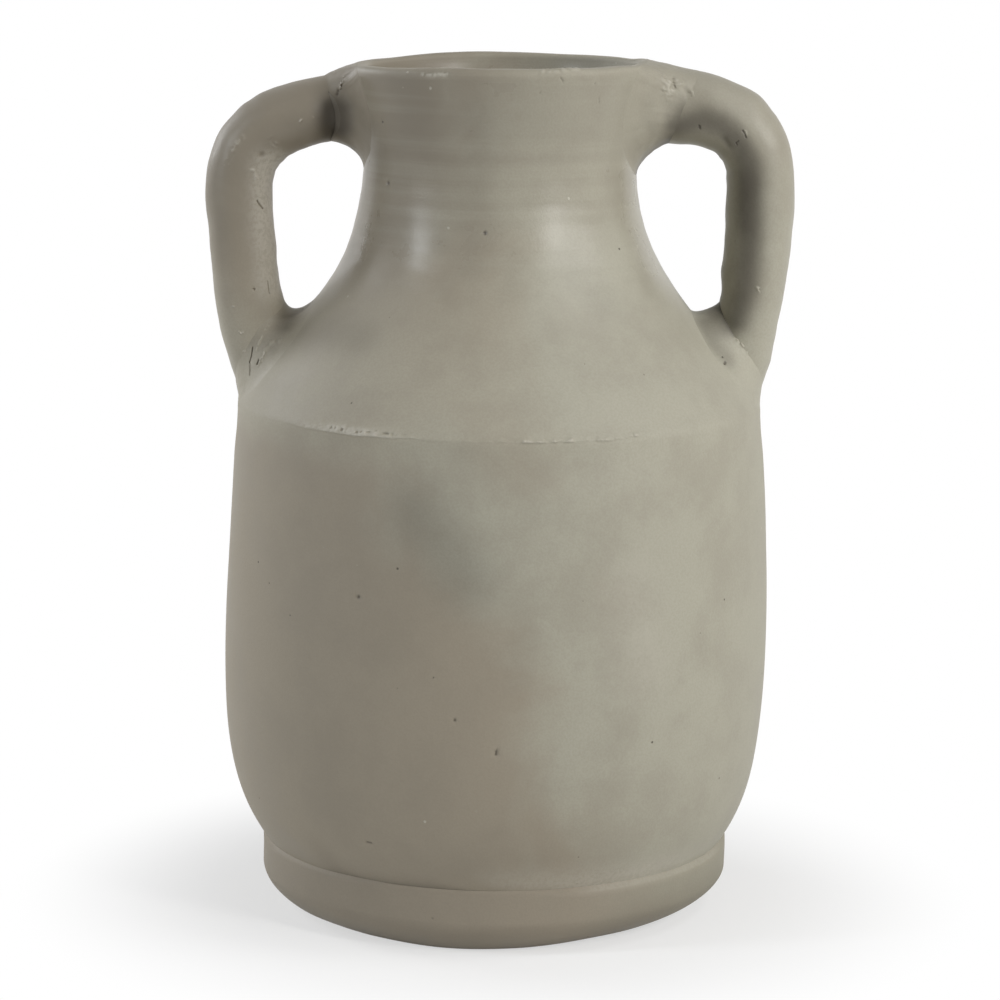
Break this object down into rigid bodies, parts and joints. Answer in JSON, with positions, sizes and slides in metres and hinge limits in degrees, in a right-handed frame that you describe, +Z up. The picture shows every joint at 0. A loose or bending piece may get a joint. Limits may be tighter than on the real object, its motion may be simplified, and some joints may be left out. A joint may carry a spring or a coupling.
{
  "type": "vase",
  "caption": "Clay vase with a round drum body, sloping shoulder, short flared neck, thick side handles and a broad foot band; holds flowers or stands as decor.",
  "frame": {"origin": "centre of the ring that the vase stands on, at table level", "axes": "+Z up along the vase's axis, X through the handles with the right handle on +X, -Y towards the viewer"},
  "size_m": [0.21, 0.1964, 0.305],
  "materials": {
    "thrown_clay": "smoothed grey-brown clay, matte with a faint sheen",
    "rolled_clay": "hand-rolled grey-brown clay, matte with a faint sheen, pitted",
    "luting_clay": "smeared grey-brown clay, rough where it was pressed on"
  },
  "bodies": {
    "root": {"foot_band": "thrown_clay", "floor_disc": "thrown_clay", "body_drum": "thrown_clay", "seam_bead": "luting_clay", "shoulder_and_neck": "thrown_clay", "left_handle": "rolled_clay", "right_handle": "rolled_clay", "left_neck_wad": "luting_clay", "left_shoulder_wad": "luting_clay", "right_neck_wad": "luting_clay", "right_shoulder_wad": "luting_clay"}
  },
  "joints": []
}
